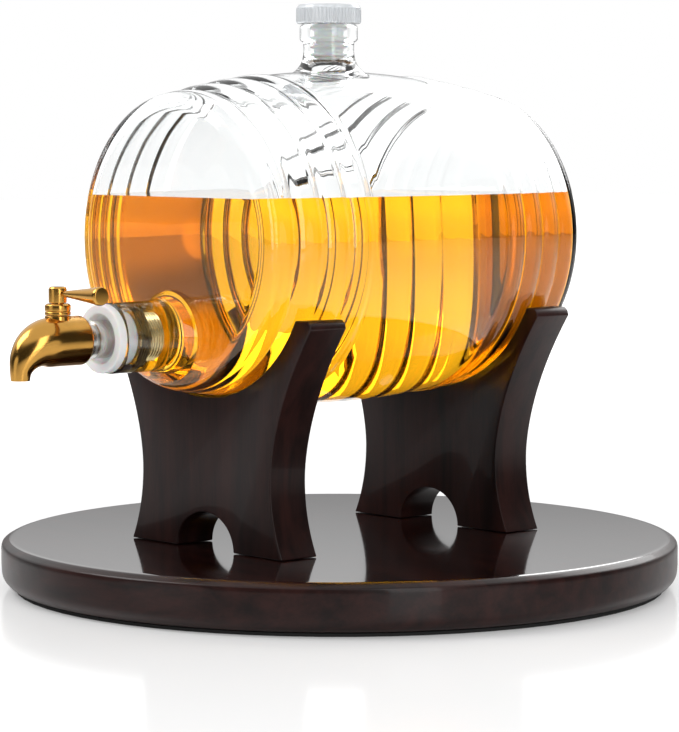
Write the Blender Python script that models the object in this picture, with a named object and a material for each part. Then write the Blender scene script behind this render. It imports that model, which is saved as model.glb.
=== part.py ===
# Glass barrel decanter with a lever tap, on a turned board with two wooden cradles.
# Metres, +Z up. The origin is the middle of the board's underside, the barrel lies
# along Y and the tap points to -Y.
import math

import bmesh
import bpy
from mathutils import Matrix, Vector

# Board and its felt
BOARD_RADIUS = 0.165
FELT_RADIUS = 0.1585
FELT_THICKNESS = 0.0015
BOARD_THICKNESS = 0.0227
BOARD_TOP_ROUND = 0.0035
BOARD_FOOT_ROUND = 0.0045

# Cradles
CRADLE_SHIFT = 0.0025
CRADLE_SETBACK = 0.0290
CRADLE_THICKNESS = 0.022
CRADLE_HEIGHT = 0.111
CRADLE_FOOT_HALF = 0.0552
CRADLE_WAIST_HALF = 0.0470
CRADLE_TIP_HALF = 0.0755
CRADLE_EDGE_ROUND = 0.0035
ARCH_RADIUS = 0.0205
ARCH_HEIGHT = 0.0175

# Screws through the board into the cradles
SCREW_SPREAD = 0.034
SCREW_SHANK_RADIUS = 0.0022
SCREW_HEAD_RADIUS = 0.0045
SCREW_HEAD_HEIGHT = 0.0030
SCREW_GRIP = 0.0180

# Glass barrel
AXIS_ABOVE_BOARD = 0.1455
BARREL_MIDDLE = -0.0040
BARREL_HALF_LENGTH = 0.1020
BARREL_RADIUS = 0.0800
BARREL_TAPER = 0.0133
GLASS_WALL = 0.0040
END_DOME = 0.0016
END_ROUND = 0.0060
HOOP_COUNT = 4
HOOP_FIRST = 0.0430
HOOP_WIDTH = 0.0142
HOOP_RISE = 0.0013
HOOP_GROOVE = 0.0011

# Neck
NECK_SHIFT = -0.0030
NECK_RADIUS = 0.0122
NECK_BORE = 0.0093
NECK_HEIGHT = 0.0225
NECK_FLARE = 0.0048
LIP_RADIUS = 0.0140
LIP_HEIGHT = 0.0083

# Glass tube that holds the tap
TUBE_DROP = 0.0430
TUBE_RADIUS = 0.0163
TUBE_BORE = 0.0136
TUBE_LENGTH = 0.0369
TUBE_FLARE = 0.0042

# Stopper
CAP_RADIUS = 0.0157
CAP_HEIGHT = 0.0093
CAP_CHAMFER = 0.0022
CAP_FLUTES = 30
CAP_FLUTE_DEPTH = 0.0006
STEM_RADIUS = 0.0055
STEM_LENGTH = 0.0185
SLEEVE_RADIUS = 0.0074
SLEEVE_LENGTH = 0.0172
SLEEVE_FINS = 4

# Silicone bung
BUNG_FLANGE_RADIUS = 0.0160
BUNG_FLANGE_THICKNESS = 0.0043
BUNG_LENGTH = 0.0083
BUNG_DRAFT = 0.0006
BUNG_RECESS_RADIUS = 0.0114
BUNG_RECESS_DEPTH = 0.0034

# Threaded shank, its washer and its nut
SHANK_RADIUS = 0.0075
SHANK_BORE = 0.0045
SHANK_COLLAR_RADIUS = 0.0088
SHANK_STANDOFF = 0.0111
SHANK_TAIL = 0.0169
SHANK_SOCKET = 0.0068
THREAD_PITCH = 0.0015
THREAD_DEPTH = 0.0005
WASHER_RADIUS = 0.0122
WASHER_THICKNESS = 0.0012
NUT_ACROSS_CORNERS = 0.0248
NUT_THICKNESS = 0.0055

# Tap body and spout
TAP_RADIUS = 0.0113
TAP_STRAIGHT = 0.0131
SPOUT_REACH = 0.0331
SPOUT_DROP = 0.0166
SPOUT_TIP_RADIUS = 0.0043
WATERWAY_RADIUS = 0.0028
BOSS_RADIUS = 0.0059
BOSS_ABOVE_BODY = 0.0004

# Valve, its bonnet and its lever
VALVE_SETBACK = 0.0121
PLUG_RADIUS = 0.0044
PLUG_BELOW = 0.0078
PORT_RADIUS = 0.0026
RING_THICKNESS = 0.0011
GROOVE_DEPTH = 0.0009
VALVE_STEM_RADIUS = 0.0026
BONNET_RADIUS = 0.0059
BONNET_HEIGHT = 0.0052
POST_RADIUS = 0.0041
POST_HEIGHT = 0.0073
POST_SOCKET = 0.0024
LEVER_ABOVE_POST_FOOT = 0.0042
LEVER_LENGTH = 0.0326
LEVER_ROOT_RADIUS = 0.0012
LEVER_END_RADIUS = 0.0043
LEVER_SEAT = 0.0014

# Clearances and cutter overrun
GAP = 0.0003
RUNNING_GAP = 0.00015
OVERRUN = 0.0020
SMALL_CHAMFER = 0.0006

# Facets round the pieces
BARREL_SEGMENTS = 40
BOARD_SEGMENTS = 64
ROUND_SEGMENTS = 24
SMALL_SEGMENTS = 14
SADDLE_SEGMENTS = 72

# Where the saddles' cutter has its rings, as shares of the barrel's half length
SADDLE_LENGTH_SHARES = (0, 0.3, 0.55, 0.75, 0.95, 1.3)

# Heights and places that follow
BOARD_FOOT = FELT_THICKNESS + GAP
BOARD_TOP = BOARD_FOOT + BOARD_THICKNESS
AXIS_HEIGHT = BOARD_TOP + AXIS_ABOVE_BOARD
CRADLE_FOOT = BOARD_TOP + GAP
CRADLE_MIDDLE = BARREL_MIDDLE + CRADLE_SHIFT
CRADLE_SPACING = 2 * (BARREL_HALF_LENGTH - CRADLE_SETBACK)
TUBE_HEIGHT = AXIS_HEIGHT - TUBE_DROP
BARREL_FRONT = BARREL_MIDDLE - BARREL_HALF_LENGTH
TUBE_MOUTH = BARREL_FRONT - TUBE_LENGTH
BUNG_SEAT = TUBE_MOUTH - GAP
BUNG_FACE = BUNG_SEAT - BUNG_FLANGE_THICKNESS
BUNG_END = BUNG_SEAT + BUNG_LENGTH
COLLAR_END = BUNG_FACE + BUNG_RECESS_DEPTH - GAP
TAP_BACK = BUNG_FACE - SHANK_STANDOFF
VALVE_PLACE = TAP_BACK - VALVE_SETBACK
BOSS_RISE = TAP_RADIUS + BOSS_ABOVE_BODY
BOSS_TOP = TUBE_HEIGHT + BOSS_RISE
PLUG_ABOVE = BOSS_RISE - GAP
BONNET_FOOT = BOSS_TOP + GAP
POST_FOOT = BONNET_FOOT + BONNET_HEIGHT + GAP
NECK_PLACE = BARREL_MIDDLE + NECK_SHIFT
LIP_TOP = AXIS_HEIGHT + BARREL_RADIUS + NECK_HEIGHT
CAP_FOOT = LIP_TOP + GAP

ALONG_Y = Matrix.Rotation(-math.pi / 2, 4, "X")
ALONG_X = Matrix.Rotation(math.pi / 2, 4, "Y")
UPRIGHT = Matrix.Identity(4)


def clear_objects():
    for old in list(bpy.data.objects):
        bpy.data.objects.remove(old, do_unlink=True)


def finish_material(name, colour, roughness, metallic=0.0, transmission=0.0):
    material = bpy.data.materials.new(name)
    material.use_nodes = True
    shader = material.node_tree.nodes["Principled BSDF"]
    shader.inputs["Base Color"].default_value = (*colour, 1.0)
    shader.inputs["Roughness"].default_value = roughness
    shader.inputs["Metallic"].default_value = metallic
    shader.inputs["Transmission Weight"].default_value = transmission
    material.diffuse_color = (*colour, 1.0)
    return material


FINISHES = {
    "glass": ((0.90, 0.93, 0.94), 0.03, 0.0, 0.9),
    "wood": ((0.045, 0.014, 0.010), 0.28, 0.0, 0.0),
    "gilt": ((0.85, 0.60, 0.24), 0.18, 1.0, 0.0),
    "steel": ((0.62, 0.62, 0.60), 0.28, 1.0, 0.0),
    "silicone": ((0.80, 0.80, 0.78), 0.45, 0.0, 0.3),
    "clear_plastic": ((0.88, 0.88, 0.86), 0.15, 0.0, 0.6),
    "rubber": ((0.03, 0.03, 0.03), 0.60, 0.0, 0.0),
    "felt": ((0.02, 0.02, 0.02), 0.95, 0.0, 0.0),
}


def place(name, bm, finish, location, turn=UPRIGHT):
    """Turn a bmesh into a named object with its own material."""
    bmesh.ops.recalc_face_normals(bm, faces=bm.faces)
    mesh = bpy.data.meshes.new(name)
    bm.to_mesh(mesh)
    bm.free()
    mesh.shade_smooth()
    mesh.set_sharp_from_angle(angle=math.radians(35))
    piece = bpy.data.objects.new(name, mesh)
    piece.matrix_world = Matrix.Translation(Vector(location)) @ turn
    bpy.context.scene.collection.objects.link(piece)
    if finish:
        mesh.materials.append(finish_material(name, *FINISHES[finish]))
    else:
        piece.hide_render = True
        piece.display_type = "WIRE"
    return piece


def turned_shape(profile, segments, closed=False, flute_radius=0, flute_depth=0):
    """Spin (radius, height) points about Z. Rings of flute_radius get flutes."""
    bm = bmesh.new()
    rings = []
    for radius, height in profile:
        if radius == 0:
            rings.append([bm.verts.new((0, 0, height))])
            continue
        ring = []
        for step in range(segments):
            angle = math.tau * step / segments
            length = radius - (flute_depth if radius == flute_radius and step % 2 else 0)
            ring.append(bm.verts.new((length * math.cos(angle), length * math.sin(angle), height)))
        rings.append(ring)
    pairs = list(zip(rings, rings[1:]))
    if closed:
        pairs.append((rings[-1], rings[0]))
    for low, high in pairs:
        join_rings(bm, low, high)
    return bm


def join_rings(bm, low, high):
    count = max(len(low), len(high))
    for step in range(count):
        after = (step + 1) % count
        if len(low) == 1:
            bm.faces.new((low[0], high[step], high[after]))
        elif len(high) == 1:
            bm.faces.new((low[step], high[0], low[after]))
        else:
            bm.faces.new((low[step], high[step], high[after], low[after]))


def turned(name, profile, finish, location, turn=UPRIGHT, segments=ROUND_SEGMENTS, closed=False):
    return place(name, turned_shape(profile, segments, closed), finish, location, turn)


def rod(name, radius, low, high, location, turn=UPRIGHT, segments=ROUND_SEGMENTS, finish=None):
    profile = [(0, low), (radius, low), (radius, high), (0, high)]
    return turned(name, profile, finish, location, turn, segments)


def change(target, other, operation):
    modifier = target.modifiers.new(operation.lower(), "BOOLEAN")
    modifier.operation = operation
    modifier.solver = "EXACT"
    modifier.object = other


def cut(target, *cutters):
    for cutter in cutters:
        change(target, cutter, "DIFFERENCE")


def join(target, *others):
    for other in others:
        change(target, other, "UNION")


def barrel_radius(along):
    """Smooth radius of the barrel at a distance from its middle."""
    return BARREL_RADIUS - BARREL_TAPER * (along / BARREL_HALF_LENGTH) ** 2


def barrel_side():
    """Half of the barrel's outline, from its middle to the pole of one end."""
    side = [(BARREL_RADIUS, 0), (barrel_radius(HOOP_FIRST / 2), HOOP_FIRST / 2)]
    for hoop in range(HOOP_COUNT):
        start = HOOP_FIRST + hoop * HOOP_WIDTH
        for share, rise in ((0.0, -HOOP_GROOVE), (0.18, HOOP_RISE), (0.82, HOOP_RISE)):
            along = start + share * HOOP_WIDTH
            if along < BARREL_HALF_LENGTH - END_ROUND:
                side.append((barrel_radius(along) + rise, along))
    rim = barrel_radius(BARREL_HALF_LENGTH - END_ROUND) + HOOP_RISE
    for angle in (0, 30, 60, 90):
        turn = math.radians(angle)
        side.append((rim - END_ROUND * (1 - math.cos(turn)),
                     BARREL_HALF_LENGTH - END_ROUND * (1 - math.sin(turn))))
    side.append((rim / 2, BARREL_HALF_LENGTH + END_DOME))
    side.append((0, BARREL_HALF_LENGTH + END_DOME))
    return side


def bore_side():
    """The same for the inside of the barrel."""
    end = BARREL_HALF_LENGTH - GLASS_WALL
    side = [(barrel_radius(along) - GLASS_WALL, along)
            for along in (0, HOOP_FIRST / 2, HOOP_FIRST, (HOOP_FIRST + end) / 2, end - END_ROUND)]
    side.append((side[-1][0] - END_ROUND / 2, end - END_ROUND / 3))
    side.append((side[-1][0] - END_ROUND, end))
    side.append((0, end))
    return side


def both_ways(side):
    back = [(radius, -along) for radius, along in reversed(side[1:])]
    return back + side


def make_felt():
    rod("base_felt", FELT_RADIUS, 0, FELT_THICKNESS, (0, 0, 0), segments=BOARD_SEGMENTS, finish="felt")


def screw_places():
    for side in (-1, 1):
        for row in (-1, 1):
            yield row * SCREW_SPREAD, CRADLE_MIDDLE + side * CRADLE_SPACING / 2


def make_board():
    top, foot = BOARD_TOP_ROUND, BOARD_FOOT_ROUND
    profile = [(0, 0)]
    for angle in (0, 45, 90):
        turn = math.radians(angle)
        profile.append((BOARD_RADIUS - foot * (1 - math.sin(turn)), foot * (1 - math.cos(turn))))
    for angle in (0, 45, 90):
        turn = math.radians(angle)
        profile.append((BOARD_RADIUS - top * (1 - math.cos(turn)),
                        BOARD_THICKNESS - top * (1 - math.sin(turn))))
    profile.append((0, BOARD_THICKNESS))
    board = turned("base_board", profile, "wood", (0, 0, BOARD_FOOT), segments=BOARD_SEGMENTS)
    for number, (x, y) in enumerate(screw_places(), 1):
        hole = [(0, -OVERRUN), (SCREW_HEAD_RADIUS + GAP, -OVERRUN),
                (SCREW_HEAD_RADIUS + GAP, SCREW_HEAD_HEIGHT + 2 * GAP),
                (SCREW_SHANK_RADIUS + GAP, SCREW_HEAD_HEIGHT + 2 * GAP),
                (SCREW_SHANK_RADIUS + GAP, BOARD_THICKNESS + OVERRUN),
                (0, BOARD_THICKNESS + OVERRUN)]
        cut(board, turned(f"board_hole_{number}", hole, None, (x, y, BOARD_FOOT),
                          segments=SMALL_SEGMENTS))


def cradle_half_outline():
    """Right half of a cradle seen from the tap, from the arch up to the arm's tip."""
    outline = []
    for angle in (0, 20, 40, 60, 80):
        turn = math.radians(angle)
        outline.append((ARCH_RADIUS * math.sin(turn), ARCH_HEIGHT * math.cos(turn)))
    outline.append((ARCH_RADIUS, 0))
    outline.append((CRADLE_FOOT_HALF, 0))
    lean = CRADLE_TIP_HALF - CRADLE_WAIST_HALF
    foot_lean = CRADLE_FOOT_HALF - CRADLE_WAIST_HALF
    flank_shares = ((0.06, 0.78, 0), (0.14, 0.38, 0), (0.22, 0.12, 0), (0.32, 0, 0),
                    (0.44, 0, 0.03), (0.55, 0, 0.12), (0.66, 0, 0.28), (0.78, 0, 0.50),
                    (0.88, 0, 0.74), (0.95, 0, 0.96), (0.965, 0, 1.0))
    for up_share, foot_share, lean_share in flank_shares:
        outline.append((CRADLE_WAIST_HALF + foot_share * foot_lean + lean_share * lean,
                        up_share * CRADLE_HEIGHT))
    tip_shares = ((0.990, 0.985), (0.965, 1.0), (0.930, 1.0), (0.5, 1.0))
    for out_share, up_share in tip_shares:
        outline.append((out_share * CRADLE_TIP_HALF, up_share * CRADLE_HEIGHT))
    return outline


def make_cradle(name, place_y):
    right = cradle_half_outline()
    left = [(-x, z) for x, z in reversed(right[1:])]
    outline = right + left
    bm = bmesh.new()
    front = [bm.verts.new((x, -CRADLE_THICKNESS / 2, z)) for x, z in outline]
    face = bm.faces.new(front)
    swept = bmesh.ops.extrude_face_region(bm, geom=[face])
    moved = [item for item in swept["geom"] if isinstance(item, bmesh.types.BMVert)]
    bmesh.ops.translate(bm, verts=moved, vec=(0, CRADLE_THICKNESS, 0))
    cradle = place(name, bm, "wood", (0, place_y, CRADLE_FOOT))
    side = [(barrel_radius(share * BARREL_HALF_LENGTH) + HOOP_RISE + GAP, share * BARREL_HALF_LENGTH)
            for share in SADDLE_LENGTH_SHARES]
    side.append((0, side[-1][1]))
    cut(cradle, turned(name + "_saddle", both_ways(side), None, (0, BARREL_MIDDLE, AXIS_HEIGHT),
                       ALONG_Y, SADDLE_SEGMENTS))
    rounding = cradle.modifiers.new("edges", "BEVEL")
    rounding.width = CRADLE_EDGE_ROUND
    rounding.segments = 2
    rounding.limit_method = "ANGLE"
    rounding.angle_limit = math.radians(50)
    for row in (-1, 1):
        pilot = rod(f"{name}_pilot_{row + 1}", SCREW_SHANK_RADIUS + GAP, -OVERRUN, SCREW_GRIP + GAP,
                    (row * SCREW_SPREAD, place_y, CRADLE_FOOT), segments=SMALL_SEGMENTS)
        cut(cradle, pilot)


def make_screw(name, x, y):
    head_top = BOARD_FOOT + GAP + SCREW_HEAD_HEIGHT
    length = BOARD_TOP + GAP + SCREW_GRIP - head_top
    profile = [(0, -SCREW_HEAD_HEIGHT), (SCREW_HEAD_RADIUS, -SCREW_HEAD_HEIGHT),
               (SCREW_HEAD_RADIUS, 0), (SCREW_SHANK_RADIUS, 0),
               (SCREW_SHANK_RADIUS, length - SCREW_SHANK_RADIUS), (0, length)]
    turned(name, profile, "steel", (x, y, head_top), segments=SMALL_SEGMENTS)


def make_decanter():
    glass = turned("decanter_glass", both_ways(barrel_side()), "glass",
                   (0, BARREL_MIDDLE, AXIS_HEIGHT), ALONG_Y, BARREL_SEGMENTS)
    root = AXIS_HEIGHT + BARREL_RADIUS - GLASS_WALL / 2
    lip_foot = LIP_TOP - LIP_HEIGHT
    round_off = LIP_HEIGHT / 4
    neck = [(0, root), (NECK_RADIUS + NECK_FLARE, root),
            (NECK_RADIUS + NECK_FLARE * 0.35, root + NECK_FLARE * 0.8),
            (NECK_RADIUS, root + NECK_FLARE * 2), (NECK_RADIUS, lip_foot),
            (LIP_RADIUS, lip_foot + round_off), (LIP_RADIUS, LIP_TOP - round_off),
            (LIP_RADIUS - round_off / 2, LIP_TOP), (0, LIP_TOP)]
    neck_outside = turned("neck_outside", neck, None, (0, NECK_PLACE, 0))
    tube_root = TUBE_LENGTH + GLASS_WALL / 2
    tube = [(0, tube_root), (TUBE_RADIUS + TUBE_FLARE, tube_root),
            (TUBE_RADIUS + TUBE_FLARE, TUBE_LENGTH - TUBE_FLARE * 0.3),
            (TUBE_RADIUS + TUBE_FLARE * 0.3, TUBE_LENGTH - TUBE_FLARE * 1.4),
            (TUBE_RADIUS, TUBE_LENGTH - TUBE_FLARE * 2.6), (TUBE_RADIUS, SMALL_CHAMFER),
            (TUBE_RADIUS - SMALL_CHAMFER, 0), (0, 0)]
    tube_outside = turned("tube_outside", tube, None, (0, TUBE_MOUTH, TUBE_HEIGHT), ALONG_Y)
    join(glass, neck_outside, tube_outside)
    inside = turned("barrel_inside", both_ways(bore_side()), None,
                    (0, BARREL_MIDDLE, AXIS_HEIGHT), ALONG_Y, BARREL_SEGMENTS)
    neck_hole = rod("neck_hole", NECK_BORE, AXIS_HEIGHT + BARREL_RADIUS - 3 * GLASS_WALL,
                    LIP_TOP + OVERRUN, (0, NECK_PLACE, 0))
    tube_hole = rod("tube_hole", TUBE_BORE, -OVERRUN, TUBE_LENGTH + 3 * GLASS_WALL,
                    (0, TUBE_MOUTH, TUBE_HEIGHT), ALONG_Y)
    cut(glass, inside, neck_hole, tube_hole)


def make_stopper():
    straight = CAP_HEIGHT - CAP_CHAMFER
    profile = [(0, -STEM_LENGTH), (STEM_RADIUS, -STEM_LENGTH), (STEM_RADIUS, 0),
               (CAP_RADIUS - SMALL_CHAMFER, 0), (CAP_RADIUS, SMALL_CHAMFER), (CAP_RADIUS, straight),
               (CAP_RADIUS - CAP_CHAMFER / 2, CAP_HEIGHT), (0, CAP_HEIGHT)]
    bm = turned_shape(profile, 2 * CAP_FLUTES, False, CAP_RADIUS, CAP_FLUTE_DEPTH)
    place("stopper_cap", bm, "clear_plastic", (0, NECK_PLACE, CAP_FOOT))
    inner = STEM_RADIUS + GAP
    fin = NECK_BORE - GAP
    pitch = SLEEVE_LENGTH / SLEEVE_FINS
    sleeve = [(inner, -SLEEVE_LENGTH), (inner, 0)]
    for number in range(SLEEVE_FINS):
        top = -number * pitch
        sleeve += [(SLEEVE_RADIUS, top), (SLEEVE_RADIUS, top - pitch * 0.30),
                   (fin, top - pitch * 0.45), (fin, top - pitch * 0.60),
                   (SLEEVE_RADIUS, top - pitch * 0.75)]
    sleeve.append((SLEEVE_RADIUS, -SLEEVE_LENGTH))
    turned("stopper_sleeve", sleeve, "silicone", (0, NECK_PLACE, LIP_TOP),
           segments=ROUND_SEGMENTS, closed=True)


def make_bung():
    bore = SHANK_RADIUS + GAP
    plug = TUBE_BORE - GAP
    recess_floor = BUNG_FACE + BUNG_RECESS_DEPTH - BUNG_SEAT
    face = BUNG_FACE - BUNG_SEAT
    profile = [(bore, recess_floor), (BUNG_RECESS_RADIUS, recess_floor), (BUNG_RECESS_RADIUS, face),
               (BUNG_FLANGE_RADIUS - SMALL_CHAMFER, face), (BUNG_FLANGE_RADIUS, face + SMALL_CHAMFER),
               (BUNG_FLANGE_RADIUS, 0), (plug, 0), (plug - BUNG_DRAFT, BUNG_LENGTH),
               (bore, BUNG_LENGTH)]
    turned("silicone_bung", profile, "silicone", (0, BUNG_SEAT, TUBE_HEIGHT), ALONG_Y, closed=True)


def make_shank():
    start = TAP_BACK - SHANK_SOCKET + GAP
    end = BUNG_END + SHANK_TAIL
    collar_start = TAP_BACK + GAP
    thread = []
    turns = int((end - BUNG_END) / THREAD_PITCH)
    for number in range(turns):
        low = end - (number + 1) * THREAD_PITCH
        thread = [(SHANK_RADIUS - THREAD_DEPTH, low - TAP_BACK),
                  (SHANK_RADIUS, low + THREAD_PITCH / 2 - TAP_BACK)] + thread
    profile = [(SHANK_BORE, start - TAP_BACK), (SHANK_RADIUS, start - TAP_BACK),
               (SHANK_RADIUS, collar_start - TAP_BACK), (SHANK_COLLAR_RADIUS, collar_start - TAP_BACK),
               (SHANK_COLLAR_RADIUS, COLLAR_END - TAP_BACK), (SHANK_RADIUS, COLLAR_END - TAP_BACK)]
    profile += thread + [(SHANK_RADIUS - THREAD_DEPTH, end - TAP_BACK), (SHANK_BORE, end - TAP_BACK)]
    turned("tap_shank", profile, "steel", (0, TAP_BACK, TUBE_HEIGHT), ALONG_Y,
           SMALL_SEGMENTS, closed=True)
    bore = SHANK_RADIUS + GAP
    washer = [(bore, 0), (WASHER_RADIUS, 0), (WASHER_RADIUS, WASHER_THICKNESS), (bore, WASHER_THICKNESS)]
    turned("inner_washer", washer, "steel", (0, BUNG_END + GAP, TUBE_HEIGHT), ALONG_Y, closed=True)
    nut_place = BUNG_END + GAP + WASHER_THICKNESS + GAP
    nut = rod("lock_nut", NUT_ACROSS_CORNERS / 2, 0, NUT_THICKNESS, (0, nut_place, TUBE_HEIGHT),
              ALONG_Y, segments=6, finish="steel")
    cut(nut, rod("nut_hole", bore, -OVERRUN, NUT_THICKNESS + OVERRUN, (0, nut_place, TUBE_HEIGHT),
                 ALONG_Y, segments=SMALL_SEGMENTS))


def swept_shape(stations, segments):
    """Loft circles, given as (y, z, radius, lean), with flat ends; lean turns -Y to -Z."""
    bm = bmesh.new()
    rings = []
    for y, z, radius, lean in stations:
        ring = []
        for step in range(segments):
            angle = math.tau * step / segments
            side = radius * math.cos(angle)
            rise = radius * math.sin(angle)
            ring.append(bm.verts.new((side, y - rise * math.sin(lean), z + rise * math.cos(lean))))
        rings.append(ring)
    for low, high in zip(rings, rings[1:]):
        join_rings(bm, low, high)
    bm.faces.new(rings[0])
    bm.faces.new(rings[-1])
    return bm


def spout_stations(radii, from_y):
    """Places along the tap's middle line, from its back to the spout's tip."""
    bend = SPOUT_REACH - TAP_STRAIGHT
    reach_shares = (0.0, 0.35, 0.65, 0.875, 0.985, 1.0)
    drop_shares = (0.0, 0.04, 0.19, 0.46, 0.75, 1.0)
    lean_degrees = (0, 12, 35, 60, 80, 90)
    stations = [(from_y, 0, radii[0], 0)]
    for reach, drop, lean, radius in zip(reach_shares, drop_shares, lean_degrees, radii[1:]):
        stations.append((-TAP_STRAIGHT - reach * bend, -drop * SPOUT_DROP, radius, math.radians(lean)))
    return stations


def make_tap_body():
    wide, tip = TAP_RADIUS, SPOUT_TIP_RADIUS
    slim_shares = (1.0, 0.94, 0.71, 0.385, 0.10, 0.0)
    radii = [wide] + [tip + share * (wide - tip) for share in slim_shares]
    stations = spout_stations(radii, -SMALL_CHAMFER)
    stations.insert(0, (0, 0, wide - SMALL_CHAMFER, 0))
    body = place("tap_body", swept_shape(stations, ROUND_SEGMENTS), "gilt", (0, TAP_BACK, TUBE_HEIGHT))
    boss = rod("boss_outside", BOSS_RADIUS, 0, BOSS_RISE, (0, VALVE_PLACE, TUBE_HEIGHT))
    join(body, boss)
    waterway = spout_stations([WATERWAY_RADIUS] * 7, -SHANK_SOCKET + OVERRUN)
    tip_y, tip_z, _, tip_lean = waterway[-1]
    waterway.append((tip_y, tip_z - OVERRUN, WATERWAY_RADIUS, tip_lean))
    cut(body, place("waterway", swept_shape(waterway, SMALL_SEGMENTS), None,
                    (0, TAP_BACK, TUBE_HEIGHT)))
    cut(body, rod("shank_socket", SHANK_RADIUS + GAP, -SHANK_SOCKET, OVERRUN,
                  (0, TAP_BACK, TUBE_HEIGHT), ALONG_Y))
    cut(body, rod("plug_bore", PLUG_RADIUS + GAP, -PLUG_BELOW - GAP, BOSS_RISE + OVERRUN,
                  (0, VALVE_PLACE, TUBE_HEIGHT)))


def make_valve():
    ring_places = (-PLUG_BELOW + 2 * RING_THICKNESS, PLUG_ABOVE - 2 * RING_THICKNESS)
    profile = [(0, -PLUG_BELOW), (PLUG_RADIUS, -PLUG_BELOW)]
    for height in ring_places:
        low = height - RING_THICKNESS / 2 - RUNNING_GAP
        high = height + RING_THICKNESS / 2 + RUNNING_GAP
        profile += [(PLUG_RADIUS, low), (PLUG_RADIUS - GROOVE_DEPTH, low),
                    (PLUG_RADIUS - GROOVE_DEPTH, high), (PLUG_RADIUS, high)]
    stem_top = POST_FOOT + POST_SOCKET - GAP - TUBE_HEIGHT
    profile += [(PLUG_RADIUS, PLUG_ABOVE), (VALVE_STEM_RADIUS, PLUG_ABOVE),
                (VALVE_STEM_RADIUS, stem_top), (0, stem_top)]
    plug = turned("valve_plug", profile, "gilt", (0, VALVE_PLACE, TUBE_HEIGHT), segments=ROUND_SEGMENTS)
    cut(plug, rod("plug_port", PORT_RADIUS, -PLUG_RADIUS - OVERRUN, PLUG_RADIUS + OVERRUN,
                  (0, VALVE_PLACE, TUBE_HEIGHT), ALONG_X, segments=SMALL_SEGMENTS))
    inner = PLUG_RADIUS - GROOVE_DEPTH + RUNNING_GAP
    outer = PLUG_RADIUS + GAP - RUNNING_GAP
    flat = RING_THICKNESS / 4
    half = RING_THICKNESS / 2
    for number, height in enumerate(ring_places, 1):
        section = [(inner, height - flat), (inner, height + flat), ((inner + outer) / 2, height + half),
                   (outer, height + flat), (outer, height - flat), ((inner + outer) / 2, height - half)]
        turned(f"plug_ring_{number}", section, "rubber", (0, VALVE_PLACE, TUBE_HEIGHT), closed=True)


def make_bonnet():
    bore = VALVE_STEM_RADIUS + GAP
    profile = [(bore, 0), (BONNET_RADIUS, 0), (BONNET_RADIUS, BONNET_HEIGHT - SMALL_CHAMFER),
               (BONNET_RADIUS - SMALL_CHAMFER, BONNET_HEIGHT), (bore, BONNET_HEIGHT)]
    turned("bonnet_nut", profile, "gilt", (0, VALVE_PLACE, BONNET_FOOT), closed=True)


def make_lever():
    socket = VALVE_STEM_RADIUS + GAP
    profile = [(0, POST_SOCKET), (socket, POST_SOCKET), (socket, 0), (POST_RADIUS, 0),
               (POST_RADIUS, POST_HEIGHT - SMALL_CHAMFER),
               (POST_RADIUS - SMALL_CHAMFER, POST_HEIGHT), (0, POST_HEIGHT)]
    post = turned("lever_post", profile, "gilt", (0, VALVE_PLACE, POST_FOOT))
    height = POST_FOOT + LEVER_ABOVE_POST_FOOT
    cut(post, rod("lever_hole", LEVER_ROOT_RADIUS + GAP, LEVER_SEAT - GAP, POST_RADIUS + OVERRUN,
                  (0, VALVE_PLACE, height), ALONG_X, segments=SMALL_SEGMENTS))
    lever = [(0, LEVER_SEAT), (LEVER_ROOT_RADIUS, LEVER_SEAT),
             (LEVER_ROOT_RADIUS, POST_RADIUS + GAP),
             (LEVER_END_RADIUS, LEVER_LENGTH - SMALL_CHAMFER),
             (LEVER_END_RADIUS - SMALL_CHAMFER, LEVER_LENGTH), (0, LEVER_LENGTH)]
    turned("tap_lever", lever, "gilt", (0, VALVE_PLACE, height), ALONG_X)


def main():
    clear_objects()
    make_felt()
    make_board()
    make_cradle("front_cradle", CRADLE_MIDDLE - CRADLE_SPACING / 2)
    make_cradle("rear_cradle", CRADLE_MIDDLE + CRADLE_SPACING / 2)
    for number, (x, y) in enumerate(screw_places(), 1):
        make_screw(f"cradle_screw_{number}", x, y)
    make_decanter()
    make_stopper()
    make_bung()
    make_shank()
    make_tap_body()
    make_valve()
    make_bonnet()
    make_lever()


main()
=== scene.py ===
import math

import bmesh
import bpy
from mathutils import Matrix, Vector


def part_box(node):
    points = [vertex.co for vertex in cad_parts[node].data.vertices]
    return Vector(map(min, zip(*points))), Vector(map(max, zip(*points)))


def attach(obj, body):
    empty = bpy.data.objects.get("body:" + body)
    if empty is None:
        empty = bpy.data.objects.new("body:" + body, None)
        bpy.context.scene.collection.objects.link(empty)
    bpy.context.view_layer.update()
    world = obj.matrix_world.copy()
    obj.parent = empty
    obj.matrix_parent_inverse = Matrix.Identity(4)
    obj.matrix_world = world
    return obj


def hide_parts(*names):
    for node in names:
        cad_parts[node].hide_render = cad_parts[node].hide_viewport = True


bl_info = {
    "name": "Barrel Decanter Looks",
    "version": (1, 0, 0),
    "blender": (4, 5, 0),
    "location": "View3D > Sidebar > Decanter",
    "description": "Finishes a glass barrel decanter with a tap on its wooden stand",
    "category": "Object",
}

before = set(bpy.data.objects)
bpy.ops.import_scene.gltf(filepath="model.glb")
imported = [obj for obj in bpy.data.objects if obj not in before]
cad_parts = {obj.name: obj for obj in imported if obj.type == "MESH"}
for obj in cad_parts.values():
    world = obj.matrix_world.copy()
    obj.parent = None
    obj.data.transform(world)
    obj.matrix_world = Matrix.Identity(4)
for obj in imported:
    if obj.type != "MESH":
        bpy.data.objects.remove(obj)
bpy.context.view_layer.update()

MM = 0.001
ALONG_Y = Matrix.Rotation(-math.pi / 2, 4, "X")
ALONG_X = Matrix.Rotation(math.pi / 2, 4, "Y")
UPRIGHT = Matrix.Identity(4)

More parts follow.
